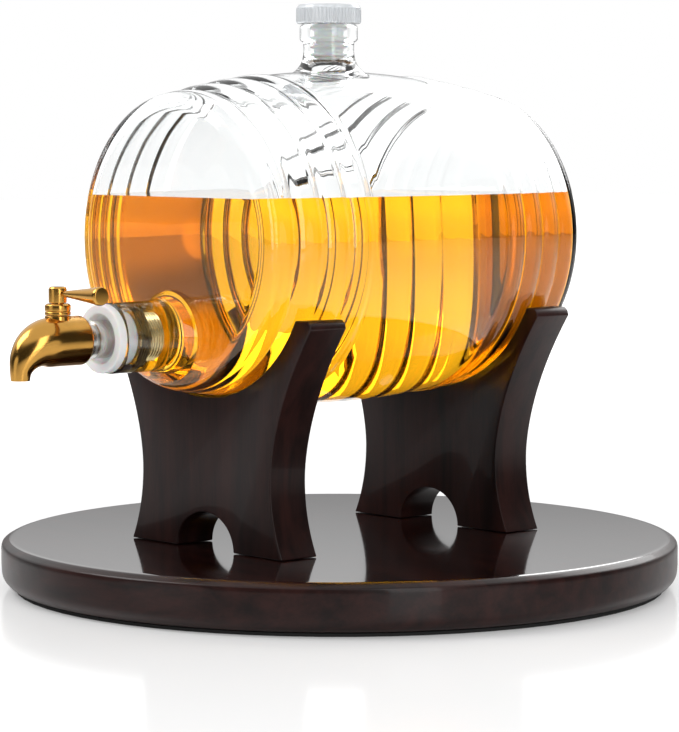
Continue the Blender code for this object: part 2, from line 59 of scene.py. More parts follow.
CAMERA_AZIMUTH = math.radians(48)


def centre_of(node):
    low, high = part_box(node)
    return [(a + b) / 2 for a, b in zip(low, high)]


def spans(node):
    low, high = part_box(node)
    return [b - a for a, b in zip(low, high)]


BOARD_LOW, BOARD_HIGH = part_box("base_board")
BUNG_LOW, BUNG_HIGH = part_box("silicone_bung")
GLASS_LOW, GLASS_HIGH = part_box("decanter_glass")
CAP_LOW, CAP_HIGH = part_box("stopper_cap")
SLEEVE_LOW, SLEEVE_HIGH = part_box("stopper_sleeve")
SHANK_LOW, SHANK_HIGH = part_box("tap_shank")
TAP_LOW, TAP_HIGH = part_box("tap_body")
BONNET_LOW, BONNET_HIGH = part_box("bonnet_nut")
POST_LOW, POST_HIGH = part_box("lever_post")
LEVER_LOW, LEVER_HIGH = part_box("tap_lever")

BOARD_RADIUS = spans("base_board")[0] / 2
BARREL_RADIUS = spans("decanter_glass")[0] / 2
AXIS_HEIGHT = GLASS_LOW[2] + BARREL_RADIUS
END_DOME = 1.6 * MM
BARREL_HALF_LENGTH = 102 * MM
BARREL_MIDDLE = GLASS_HIGH[1] - BARREL_HALF_LENGTH - END_DOME
TUBE_HEIGHT = centre_of("silicone_bung")[2]
NECK_PLACE = centre_of("stopper_cap")[1]
VALVE_PLACE = centre_of("lever_post")[1]


class BarrelSizes(bpy.types.PropertyGroup):
    taper: bpy.props.FloatProperty(
        name="Taper", description="Radius lost between the middle and each end",
        default=13.3 * MM, unit="LENGTH")
    wall: bpy.props.FloatProperty(
        name="Wall", description="Thickness of the glass", default=3.2 * MM, unit="LENGTH")
    hoop_first: bpy.props.FloatProperty(
        name="First hoop", description="Distance of the first hoop from the middle",
        default=43 * MM, unit="LENGTH")
    hoop_width: bpy.props.FloatProperty(
        name="Hoop width", description="Width of one blown hoop", default=14.2 * MM, unit="LENGTH")
    hoop_rise: bpy.props.FloatProperty(
        name="Hoop rise", description="Height of a hoop's crown", default=1.3 * MM, unit="LENGTH")
    hoop_groove: bpy.props.FloatProperty(
        name="Hoop groove", description="Depth of the grooves between hoops",
        default=1.3 * MM, unit="LENGTH")
    end_round: bpy.props.FloatProperty(
        name="End rounding", description="Radius of the end rim", default=7 * MM, unit="LENGTH")
    liquid_rise: bpy.props.FloatProperty(
        name="Liquid level", description="Height of the drink above the barrel's axis",
        default=21 * MM, unit="LENGTH")
    facets: bpy.props.IntProperty(
        name="Facets", description="Facets round the barrel", default=144, min=24)


class FinishColours(bpy.types.PropertyGroup):
    wood_dark: bpy.props.FloatVectorProperty(
        name="Wood, dark", description="Darkest grain of the stained wood",
        default=(0.007, 0.0022, 0.002), subtype="COLOR", size=3)
    wood_light: bpy.props.FloatVectorProperty(
        name="Wood, light", description="Lightest grain of the stained wood",
        default=(0.026, 0.0075, 0.006), subtype="COLOR", size=3)
    gilt: bpy.props.FloatVectorProperty(
        name="Gilt", description="Polished gilt brass",
        default=(0.64, 0.34, 0.075), subtype="COLOR", size=3)
    amber_bright: bpy.props.FloatVectorProperty(
        name="Amber, bright", description="Drink where light passes freely",
        default=(1.0, 0.44, 0.010), subtype="COLOR", size=3)
    # Painted shade: colour of the drink toward the ends and the floor of the barrel.
    amber_painted_shade: bpy.props.FloatVectorProperty(
        name="Amber, deep", description="Drink toward the ends and the floor of the barrel",
        default=(0.93, 0.46, 0.010), subtype="COLOR", size=3)
    milk: bpy.props.FloatVectorProperty(
        name="Milky silicone", description="Bung and stopper sleeve",
        default=(0.95, 0.94, 0.93), subtype="COLOR", size=3)


class Term:
    """A shader socket that Python's operators turn into Math nodes."""

    def __init__(self, shade, socket):
        self.shade = shade
        self.socket = socket

    def _math(self, operation, *values):
        return self.shade.node("ShaderNodeMath", {"operation": operation}, dict(enumerate(values)))

    def __add__(self, other):
        return self._math("ADD", self, other)

    def __sub__(self, other):
        return self._math("SUBTRACT", self, other)

    def __rsub__(self, other):
        return self._math("SUBTRACT", other, self)

    def __mul__(self, other):
        return self._math("MULTIPLY", self, other)

    __radd__ = __add__
    __rmul__ = __mul__

    def __gt__(self, other):
        return self._math("GREATER_THAN", self, other)

    def absolute(self):
        return self._math("ABSOLUTE", self)

    def clamp(self):
        return self.shade.node("ShaderNodeClamp", {}, {"Value": self})


class Shade:
    """One procedural material, or the world, and the nodes in it."""

    def __init__(self, name, world=None):
        self.material = world or bpy.data.materials.new(name)
        self.material.use_nodes = True
        self.tree = self.material.node_tree
        self.surface = self.tree.nodes.get("Principled BSDF")

    def feed(self, socket, value):
        if isinstance(value, Term):
            self.tree.links.new(value.socket, socket)
        elif isinstance(value, (int, float)) and socket.type in ("RGBA", "VECTOR"):
            width = len(socket.default_value)
            socket.default_value = [value] * width
        else:
            socket.default_value = value

    def node(self, kind, settings, values, output=0):
        made = self.tree.nodes.new(kind)
        for key, value in settings.items():
            if key == "stops":
                self.set_stops(made.color_ramp, value)
            else:
                setattr(made, key, value)
        for key, value in values.items():
            self.feed(made.inputs[key], value)
        return Term(self, made.outputs[output])

    @staticmethod
    def set_stops(ramp, stops):
        while len(ramp.elements) < len(stops):
            ramp.elements.new(0.5)
        for element, (position, colour) in zip(ramp.elements, stops):
            element.position = position
            element.color = (*colour, 1)

    def place(self):
        """Position on the piece, in metres."""
        return self.node("ShaderNodeTexCoord", {}, {}, "Object")

    def axes(self):
        split = self.tree.nodes.new("ShaderNodeSeparateXYZ")
        self.feed(split.inputs[0], self.place())
        return [Term(self, output) for output in split.outputs]

    def stretched(self, scale):
        return self.node("ShaderNodeMapping", {}, {"Vector": self.place(), "Scale": scale})

    def noise(self, scale, detail=4.0, where=None, distortion=0.0):
        return self.node("ShaderNodeTexNoise", {}, {
            "Vector": where or self.place(), "Scale": scale, "Detail": detail,
            "Distortion": distortion})

    def mix(self, factor, first, second):
        return self.node("ShaderNodeMix", {"data_type": "RGBA"},
                         {0: factor, 6: first, 7: second}, 2)

    def bump(self, height, strength, distance):
        return self.node("ShaderNodeBump", {}, {
            "Height": height, "Strength": strength, "Distance": distance})

    def set(self, **sockets):
        for key, value in sockets.items():
            self.feed(self.surface.inputs[key.replace("_", " ")], value)
        return self.material


def rgba(colour):
    return (*colour, 1.0)


def glass_finish():
    shade = Shade("blown_glass")
    waves = shade.noise(38.0, 2.0)
    clear = shade.mix(waves, (0.965, 0.98, 0.98, 1), (0.99, 0.995, 0.995, 1))
    # Painted shade: the glass colour turns grey where its surface is seen edge-on.
    grazing = shade.node("ShaderNodeLayerWeight", {}, {"Blend": 0.5}, "Facing")
    rim = shade.node("ShaderNodeMapRange", {"interpolation_type": "SMOOTHSTEP"}, {
        "Value": grazing, "From Min": 0.60, "From Max": 0.98, "To Max": 0.85})
    return shade.set(
        Base_Color=shade.mix(rim, clear, (0.42, 0.44, 0.45, 1)),
        Roughness=0.0, IOR=1.47, Transmission_Weight=1.0,
        Normal=shade.bump(waves, 0.06, 0.4 * MM))


def drink_finish(colours, sizes):
    shade = Shade("amber_drink")
    _, along, up = shade.axes()
    ends = (along - BARREL_MIDDLE).absolute() * (1 / BARREL_HALF_LENGTH)
    middle = (up - (AXIS_HEIGHT - 14 * MM)) * (1 / (0.8 * BARREL_RADIUS))
    cloud = shade.noise(16.0, 3.0) * 0.30
    # Painted shade: the drink's colour turns deeper toward the ends of the barrel, and above and below a band
    # 14 mm under its axis. A random cloud is mixed in.
    painted_shade = (ends * ends * ends * 0.85 + middle * middle * 0.55 + cloud - 0.18).clamp()
    amber = shade.mix(painted_shade, rgba(colours.amber_bright), rgba(colours.amber_painted_shade))
    in_tube = (BARREL_MIDDLE - BARREL_HALF_LENGTH - 4 * MM) - along > 0
    return shade.set(
        Base_Color=shade.mix(in_tube, amber, (1.0, 0.80, 0.42, 1)),
        Roughness=0.0, IOR=1.345, Transmission_Weight=1.0, Specular_IOR_Level=0.12)


def wood_finish(colours, name, grain, polished_above):
    shade = Shade(name)
    lines = shade.noise(34.0, 9.0, shade.stretched(grain), 0.6)
    pores = shade.noise(260.0, 2.0, shade.stretched(grain))
    tone = shade.node("ShaderNodeMapRange", {}, {
        "Value": lines * 0.8 + pores * 0.2, "From Min": 0.36, "From Max": 0.64})
    colour = shade.mix(tone, rgba(colours.wood_dark), rgba(colours.wood_light))
    up = shade.axes()[2]
    flat = up > polished_above
    rough = 0.30 + shade.noise(90.0, 3.0) * 0.10
    return shade.set(
        Base_Color=colour, Roughness=rough - flat * 0.24, IOR=1.5,
        Coat_Weight=flat * 0.75 + 0.15, Coat_Roughness=0.06, Specular_IOR_Level=0.2,
        Normal=shade.bump(lines, 0.05, 0.3 * MM))


def gilt_finish(colours):
    shade = Shade("gilt_brass")
    smears = shade.noise(140.0, 5.0)
    deep = tuple(0.86 * channel for channel in colours.gilt)
    return shade.set(
        Base_Color=shade.mix(smears, rgba(colours.gilt), rgba(deep)), Metallic=1.0,
        Roughness=0.10 + smears * 0.14, Normal=shade.bump(smears, 0.03, 0.1 * MM))


def steel_finish():
    shade = Shade("turned_steel")
    rings = shade.noise(60.0, 4.0, shade.stretched((1, 30, 1)))
    return shade.set(
        Base_Color=shade.mix(rings, (0.50, 0.49, 0.47, 1), (0.72, 0.71, 0.69, 1)), Metallic=1.0,
        Roughness=0.18 + rings * 0.16, Normal=shade.bump(rings, 0.08, 0.1 * MM))


def silicone_finish(colours):
    shade = Shade("milky_silicone")
    cloud = shade.noise(120.0, 4.0)
    pale = tuple(min(1.0, 1.06 * channel) for channel in colours.milk)
    return shade.set(
        Base_Color=shade.mix(cloud, rgba(colours.milk), rgba(pale)),
        Roughness=0.26 + cloud * 0.16, IOR=1.41, Transmission_Weight=0.15,
        Subsurface_Weight=0.5, Subsurface_Scale=4 * MM)


def clear_cap_finish():
    shade = Shade("clear_cap")
    haze = shade.noise(90.0, 3.0)
    return shade.set(
        Base_Color=shade.mix(haze, (0.72, 0.75, 0.78, 1), (0.84, 0.86, 0.88, 1)),
        Roughness=0.10 + haze * 0.10, IOR=1.49, Transmission_Weight=0.5)


def rubber_finish(name, colour, pattern_scale):
    shade = Shade(name)
    nap = shade.noise(pattern_scale, 6.0)
    light = tuple(2.2 * channel for channel in colour)
    return shade.set(
        Base_Color=shade.mix(nap, rgba(colour), rgba(light)), Roughness=0.78 + nap * 0.2,
        Normal=shade.bump(nap, 0.4, 0.3 * MM))


def softened(points, radius, steps=5, closed=False):
    """Round the corners of a (radius, height) outline; its two ends stay."""
    count = len(points)
    result = [] if closed else [points[0]]
    for index in range(0 if closed else 1, count if closed else count - 1):
        before, corner, after = (Vector(points[(index + shift) % count]) for shift in (-1, 0, 1))
        back, ahead = before - corner, after - corner
        if back.length == 0 or ahead.length == 0 or back.angle(-ahead) < 0.12:
            result.append(tuple(corner))
            continue
        reach = min(radius, 0.45 * back.length, 0.45 * ahead.length)
        start, end = corner + back.normalized() * reach, corner + ahead.normalized() * reach
        for step in range(steps + 1):
            share = step / steps
            bend = start.lerp(corner, share).lerp(corner.lerp(end, share), share)
            result.append(tuple(bend))
    if not closed:
        result.append(points[-1])
    return result


def bridge(bm, low, high):
    count = max(len(low), len(high))
    for step in range(count):
        after = (step + 1) % count
        if len(low) == 1:
            bm.faces.new((low[0], high[step], high[after]))
        elif len(high) == 1:
            bm.faces.new((low[step], high[0], low[after]))
        else:
            bm.faces.new((low[step], high[step], high[after], low[after]))


def turned_mesh(profile, facets, closed=False, wave=None):
    """Spin (radius, height) about Z. wave(angle, height, radius) changes the radius."""
    bm = bmesh.new()
    rings = []
    for radius, height in profile:
        if radius <= 0:
            rings.append([bm.verts.new((0, 0, height))])
            continue
        ring = []
        for step in range(facets):
            angle = math.tau * step / facets
            reach = wave(angle, height, radius) if wave else radius
            ring.append(bm.verts.new((reach * math.cos(angle), reach * math.sin(angle), height)))
        rings.append(ring)
    pairs = list(zip(rings, rings[1:])) + ([(rings[-1], rings[0])] if closed else [])
    for low, high in pairs:
        bridge(bm, low, high)
    return bm


def make_piece(name, bm, material, where=(0, 0, 0), turn=UPRIGHT, sharp_above=40):
    """The mesh is moved into place, so that its material reads positions in the frame."""
    bmesh.ops.recalc_face_normals(bm, faces=bm.faces)
    bmesh.ops.transform(bm, matrix=Matrix.Translation(Vector(where)) @ turn, verts=bm.verts)
    mesh = bpy.data.meshes.new(name)
    bm.to_mesh(mesh)
    bm.free()
    mesh.shade_smooth()
    mesh.set_sharp_from_angle(angle=math.radians(sharp_above))
    piece = bpy.data.objects.new(name, mesh)
    bpy.context.scene.collection.objects.link(piece)
    if material:
        mesh.materials.append(material)
    return piece


def dress(piece, body, slot, *nodes):
    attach(piece, body)
    if nodes:
        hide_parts(*nodes)
    return piece


def cut_with(piece, others, operation):
    """Apply a Boolean for each other mesh and delete that mesh."""
    for other in others:
        modifier = piece.modifiers.new(operation, "BOOLEAN")
        modifier.operation = operation
        modifier.solver = "EXACT"
        modifier.object = other
        bake(piece)
        bpy.data.objects.remove(other, do_unlink=True)
    return piece


def bake(piece):
    """Replace the mesh by the evaluated one and drop the modifiers."""
    graph = bpy.context.evaluated_depsgraph_get()
    mesh = bpy.data.meshes.new_from_object(piece.evaluated_get(graph))
    piece.modifiers.clear()
    piece.data = mesh


def barrel_outline(sizes, along, inset=0.0, hoop_share=1.0):
    """Radius of the barrel at a distance from its middle, hoops and grooves included."""
    distance = abs(along)
    radius = BARREL_RADIUS - sizes.taper * (distance / BARREL_HALF_LENGTH) ** 2 - inset
    past = distance - sizes.hoop_first
    if past <= 0:
        return radius
    crown = abs(math.sin(math.pi * past / sizes.hoop_width)) ** 0.55
    ease = min(1.0, past / (0.25 * sizes.hoop_width))
    shape = ease * (crown * (sizes.hoop_rise + sizes.hoop_groove) - sizes.hoop_groove)
    return radius + hoop_share * shape


def barrel_profile(sizes, inset, hoop_share, dome, steps=12):
    """Closed (radius, along) outline from pole to pole."""
    half = BARREL_HALF_LENGTH - inset
    straight = half - sizes.end_round
    side = []
    position = 0.0
    while position < straight:
        side.append((barrel_outline(sizes, position, inset, hoop_share), position))
        dense = position > sizes.hoop_first - sizes.hoop_width / 4
        position += sizes.hoop_width / (steps if dense else 3)
    rim = side[-1][0]
    for step in range(9):
        turn = math.pi / 2 * step / 8
        side.append((rim - sizes.end_round * (1 - math.cos(turn)),
                     straight + sizes.end_round * math.sin(turn)))
    edge = side[-1][0]
    for share in (0.85, 0.65, 0.4, 0.15, 0.0):
        side.append((edge * share, half + dome * (1 - share * share)))
    return [(radius, -along) for radius, along in reversed(side[1:])] + side


def tube_sizes():
    """Outer radius, bore and mouth of the glass tube."""
    return 16.3 * MM, 13.6 * MM, GLASS_LOW[1]


class DECANTER_OT_glass(bpy.types.Operator):
    """Blown glass barrel with its neck and the tube for the tap"""
    bl_idname = "decanter.glass"
    bl_label = "Glass barrel"

    def execute(self, context):
        sizes = context.scene.barrel_sizes
        glass = make_piece("barrel_glass", turned_mesh(
            barrel_profile(sizes, 0, 1, END_DOME), sizes.facets), None,
            (0, BARREL_MIDDLE, AXIS_HEIGHT), ALONG_Y)
        top = AXIS_HEIGHT + BARREL_RADIUS
        lip_top = GLASS_HIGH[2]
        neck = [(0, top - 4 * MM), (22 * MM, top - 3.2 * MM), (16.5 * MM, top - 0.2 * MM),
                (13.4 * MM, top + 3.4 * MM), (12.2 * MM, top + 8 * MM), (12.2 * MM, lip_top - 8.9 * MM),
                (14 * MM, lip_top - 7.6 * MM), (14 * MM, lip_top - 1.2 * MM),
                (13 * MM, lip_top), (0, lip_top)]
        neck_part = make_piece("neck_part", turned_mesh(softened(neck, 3 * MM), 96), None,
                               (0, NECK_PLACE, 0))
        outer, bore, mouth = tube_sizes()
        front = BARREL_MIDDLE - BARREL_HALF_LENGTH
        tube = [(0, 0), (outer, 0), (outer, front - mouth - 13 * MM),
                (outer + 0.8 * MM, front - mouth - 7 * MM), (outer + 4.2 * MM, front - mouth - 1.5 * MM),
                (outer + 6 * MM, front - mouth + 1.5 * MM), (0, front - mouth + 1.5 * MM)]
        tube_part = make_piece("tube_part", turned_mesh(softened(tube, 1.4 * MM), 96), None,
                               (0, mouth, TUBE_HEIGHT), ALONG_Y)
        cut_with(glass, (neck_part, tube_part), "UNION")
        inside = make_piece("inside_part", turned_mesh(
            barrel_profile(sizes, sizes.wall, 0.75, 0.5 * MM), sizes.facets), None,
            (0, BARREL_MIDDLE, AXIS_HEIGHT), ALONG_Y)
        neck_bore = make_piece("neck_bore", turned_mesh(
            [(0, top - 12 * MM), (9.3 * MM, top - 12 * MM), (9.3 * MM, lip_top + 2 * MM),
             (0, lip_top + 2 * MM)], 96), None, (0, NECK_PLACE, 0))
        tube_bore = make_piece("tube_bore", turned_mesh(
            [(0, -2 * MM), (bore, -2 * MM), (bore, front - mouth + 10 * MM),
             (0, front - mouth + 10 * MM)], 96), None, (0, mouth, TUBE_HEIGHT), ALONG_Y)
        cut_with(glass, (inside, neck_bore, tube_bore), "DIFFERENCE")
        glass.data.materials.clear()
        glass.data.materials.append(glass_finish())
        glass.data.shade_smooth()
        glass.data.set_sharp_from_angle(angle=math.radians(38))
        dress(glass, "decanter", "clear_glass", "decanter_glass")
        return {"FINISHED"}


class DECANTER_OT_drink(bpy.types.Operator):
    """Amber drink in the barrel and in the tap's tube"""
    bl_idname = "decanter.drink"
    bl_label = "Drink"

    def execute(self, context):
        sizes = context.scene.barrel_sizes
        seep = 0.15 * MM
        profile = barrel_profile(sizes, sizes.wall - seep, 0.75, 0.5 * MM)
        drink = make_piece("amber_drink", turned_mesh(profile, sizes.facets), None,
                           (0, BARREL_MIDDLE, AXIS_HEIGHT), ALONG_Y)
        _, bore, mouth = tube_sizes()
        start = BUNG_HIGH[1] - mouth
        tube = make_piece("drink_in_tube", turned_mesh(
            [(0, start), (bore + seep, start), (bore + seep, -mouth + BARREL_MIDDLE - 88 * MM),
             (0, -mouth + BARREL_MIDDLE - 88 * MM)], 96), None, (0, mouth, TUBE_HEIGHT), ALONG_Y)
        cut_with(drink, (tube,), "UNION")
        box = bmesh.new()
        bmesh.ops.create_cube(box, size=1.0)
        reach = 4 * BARREL_RADIUS
        level = AXIS_HEIGHT + sizes.liquid_rise
        air = make_piece("air_part", box, None, (0, 0, level + reach / 2),
                         Matrix.Diagonal((reach, reach, reach, 1)))
        cut_with(drink, (air,), "DIFFERENCE")
        drink.data.materials.clear()
        drink.data.materials.append(drink_finish(context.scene.finish_colours, sizes))
        drink.data.shade_smooth()
        drink.data.set_sharp_from_angle(angle=math.radians(38))
        dress(drink, "decanter", "clear_glass")
        return {"FINISHED"}


class DECANTER_OT_board(bpy.types.Operator):
    """Turned board with its felt"""
    bl_idname = "decanter.board"
    bl_label = "Board"

    def execute(self, context):
        low, high = BOARD_LOW[2], BOARD_HIGH[2]
        radius = BOARD_RADIUS
        profile = [(0, low), (radius - 4.5 * MM, low), (radius - 0.4 * MM, low + 4.5 * MM),
                   (radius, low + 10 * MM), (radius, high - 4 * MM), (radius - 0.4 * MM, high - 2.2 * MM),
                   (radius - 4.0 * MM, high), (0, high)]
        material = wood_finish(context.scene.finish_colours, "board_wood", (0.35, 3.2, 3.2),
                               high - 0.3 * MM)
        board = make_piece("board_turned", turned_mesh(softened(profile, 4 * MM, 7), 220), material)
        dress(board, "stand", "dark_wood", "base_board")
        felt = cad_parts["base_felt"]
        felt.data.materials.clear()
        felt.data.materials.append(rubber_finish("black_felt", (0.012, 0.012, 0.012), 900.0))
        return {"FINISHED"}


def cradle_outline(height, foot, waist, tip):
    """Whole outline of a cradle in its own plane, smooth along the flanks."""
    arch_radius, arch_height = 20.5 * MM, 17.5 * MM
    right = []
    for step in range(16):
        turn = math.pi / 2 * step / 15
        right.append((arch_radius * math.sin(turn), arch_height * math.cos(turn)))
    right.append((foot, 0))
    for step in range(1, 41):
        share = step / 40 * 0.965
        low = max(0.0, 1 - share / 0.32)
        up = max(0.0, (share - 0.32) / 0.645)
        right.append((waist + (foot - waist) * low ** 2.1 + (tip - waist) * up ** 1.75, share * height))
    right += [(0.990 * tip, 0.985 * height), (0.965 * tip, height), (0.925 * tip, height),
              (0.5 * tip, height)]
    return right + [(-x, z) for x, z in reversed(right[1:])]


class DECANTER_OT_cradles(bpy.types.Operator):
    """Two sawn cradles with a saddle for the barrel and an arched foot"""
    bl_idname = "decanter.cradles"
    bl_label = "Cradles"

    def execute(self, context):
        sizes = context.scene.barrel_sizes
        for node in ("front_cradle", "rear_cradle"):
            low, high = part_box(node)
            outline = cradle_outline(high[2] - low[2], 55.2 * MM, 47 * MM, 75.5 * MM)
            bm = bmesh.new()
            face = bm.faces.new([bm.verts.new((x, low[1], low[2] + z)) for x, z in outline])
            swept = bmesh.ops.extrude_face_region(bm, geom=[face])
            moved = [item for item in swept["geom"] if isinstance(item, bmesh.types.BMVert)]
            bmesh.ops.translate(bm, verts=moved, vec=(0, high[1] - low[1], 0))
            cradle = make_piece(node + "_sawn", bm, None)
            saddle = [(barrel_outline(sizes, share * BARREL_HALF_LENGTH, 0, 0)
                       + sizes.hoop_rise + 0.3 * MM, share * BARREL_HALF_LENGTH)
                      for share in (0, 0.2, 0.4, 0.6, 0.8, 0.95)]
            saddle.append((0, saddle[-1][1]))
            saddle = [(radius, -along) for radius, along in reversed(saddle[1:])] + saddle
            cutter = make_piece("saddle_part", turned_mesh(saddle, 160), None,
                                (0, BARREL_MIDDLE, AXIS_HEIGHT), ALONG_Y)
            cut_with(cradle, (cutter,), "DIFFERENCE")
            rounding = cradle.modifiers.new("edges", "BEVEL")
            rounding.width = 3.5 * MM
            rounding.segments = 5
            rounding.limit_method = "ANGLE"
            rounding.angle_limit = math.radians(50)
            bake(cradle)
            cradle.data.materials.clear()
            cradle.data.materials.append(wood_finish(
                context.scene.finish_colours, node + "_wood", (3.2, 3.2, 0.35), high[2] + 1))
            cradle.data.shade_smooth()
            cradle.data.set_sharp_from_angle(angle=math.radians(45))
            dress(cradle, "stand", "dark_wood", node)
        return {"FINISHED"}


class DECANTER_OT_stopper(bpy.types.Operator):
    """Fluted cap with its stem, and the ribbed sleeve on it"""
    bl_idname = "decanter.stopper"
    bl_label = "Stopper"

    def execute(self, context):
        foot, top = SLEEVE_HIGH[2] + 0.3 * MM, CAP_HIGH[2]
        radius = spans("stopper_cap")[0] / 2
        flutes = 50
        profile = [(0, CAP_LOW[2]), (5.5 * MM, CAP_LOW[2]), (5.5 * MM, foot), (radius - 0.5 * MM, foot),
                   (radius, foot + 0.8 * MM), (radius, top - 2.2 * MM), (radius - 1.2 * MM, top), (0, top)]

        def fluted(angle, height, reach):
            if reach < radius - 0.8 * MM or height > top - 2 * MM:
                return reach
            return reach - 0.6 * MM * (1 - abs(math.cos(flutes * angle / 2)))

        cap = make_piece("cap_fluted", turned_mesh(softened(profile, 0.7 * MM, 4), 6 * flutes,
                                                  wave=fluted), clear_cap_finish(),
                         (0, NECK_PLACE, 0), sharp_above=60)
        dress(cap, "stopper", "clear_plastic", "stopper_cap")
        inner, body, fin = 5.8 * MM, 7.2 * MM, 9.0 * MM
        section = [(inner, SLEEVE_LOW[2]), (inner, SLEEVE_HIGH[2])]
        pitch = (SLEEVE_HIGH[2] - SLEEVE_LOW[2]) / 4
        for number in range(4):
            start = SLEEVE_HIGH[2] - number * pitch
            section += [(body, start), (body, start - 0.28 * pitch), (fin, start - 0.42 * pitch),
                        (fin, start - 0.58 * pitch), (body, start - 0.76 * pitch)]
        section.append((body, SLEEVE_LOW[2]))
        sleeve = make_piece("sleeve_ribbed", turned_mesh(softened(section, 0.5 * MM, 3, True), 72, True),
                            silicone_finish(context.scene.finish_colours), (0, NECK_PLACE, 0))
        dress(sleeve, "stopper", "milky_silicone", "stopper_sleeve")
        return {"FINISHED"}


class DECANTER_OT_bung(bpy.types.Operator):
    """Moulded bung, threaded shank, washer and nut"""
    bl_idname = "decanter.bung"
    bl_label = "Bung and shank"

    def execute(self, context):
        face, seat, end = BUNG_LOW[1], BUNG_LOW[1] + 4.3 * MM, BUNG_HIGH[1]
        bore, rim, plug, recess = 7.8 * MM, 16 * MM, 13.3 * MM, 11.4 * MM
        floor = face + 3.4 * MM
        section = [(bore, floor), (recess - 0.4 * MM, floor), (recess, face), (rim - 0.2 * MM, face),
                   (rim, seat), (plug, seat), (plug, seat + 2.6 * MM), (plug - 0.4 * MM, seat + 3.4 * MM),
                   (plug - 0.4 * MM, end - 1.5 * MM), (plug - 1.2 * MM, end), (bore, end)]
        bung = make_piece("bung_moulded", turned_mesh(softened(section, 0.8 * MM, 4, True), 96, True),
                          silicone_finish(context.scene.finish_colours), (0, 0, TUBE_HEIGHT), ALONG_Y)
        dress(bung, "decanter", "milky_silicone", "silicone_bung")
        steel = steel_finish()
        pitch, depth = 1.5 * MM, 0.55 * MM
        first, last = end + 0.2 * MM, SHANK_HIGH[1]

        def threaded(angle, along, radius):
            if along < first or radius < 6 * MM:
                return radius
            phase = (along / pitch - angle / math.tau) % 1
            return radius - depth * abs(2 * phase - 1)

        inner, outer, collar, back = 4.5 * MM, 7.5 * MM, 8.8 * MM, TAP_HIGH[1] + 0.3 * MM
        stop = floor - 0.3 * MM
        shank = [(inner, SHANK_LOW[1]), (outer, SHANK_LOW[1]), (outer, back), (collar - 0.3 * MM, back),
                 (collar - 0.3 * MM, back + 3.2 * MM), (outer, back + 3.8 * MM), (outer, back + 4.8 * MM),
                 (collar, back + 5.4 * MM), (collar, stop), (outer, stop)]
        crests = int((last - first) / pitch * 8)
        shank += [(outer, first + (last - first) * step / crests) for step in range(crests + 1)]
        shank.append((inner, last))
        piece = make_piece("shank_threaded", turned_mesh(shank, 64, True, threaded), steel,
                           (0, 0, TUBE_HEIGHT), ALONG_Y, 50)
        dress(piece, "decanter", "steel", "tap_shank")
        for node in ("inner_washer", "lock_nut", "cradle_screw_1", "cradle_screw_2",
                     "cradle_screw_3", "cradle_screw_4"):
            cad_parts[node].data.materials.clear()
            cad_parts[node].data.materials.append(steel)
        return {"FINISHED"}


def smooth_track(points, steps):
    """Catmull-Rom through tuples of numbers."""
    padded = [points[0]] + points + [points[-1]]
    track = []
    for a, b, c, d in zip(padded, padded[1:], padded[2:], padded[3:]):
        for step in range(steps):
            t = step / steps
            track.append(tuple(
                0.5 * (2 * q + (r - p) * t + (2 * p - 5 * q + 4 * r - s) * t * t
                       + (3 * q - p - 3 * r + s) * t ** 3)
                for p, q, r, s in zip(a, b, c, d)))
    track.append(points[-1])
    return track


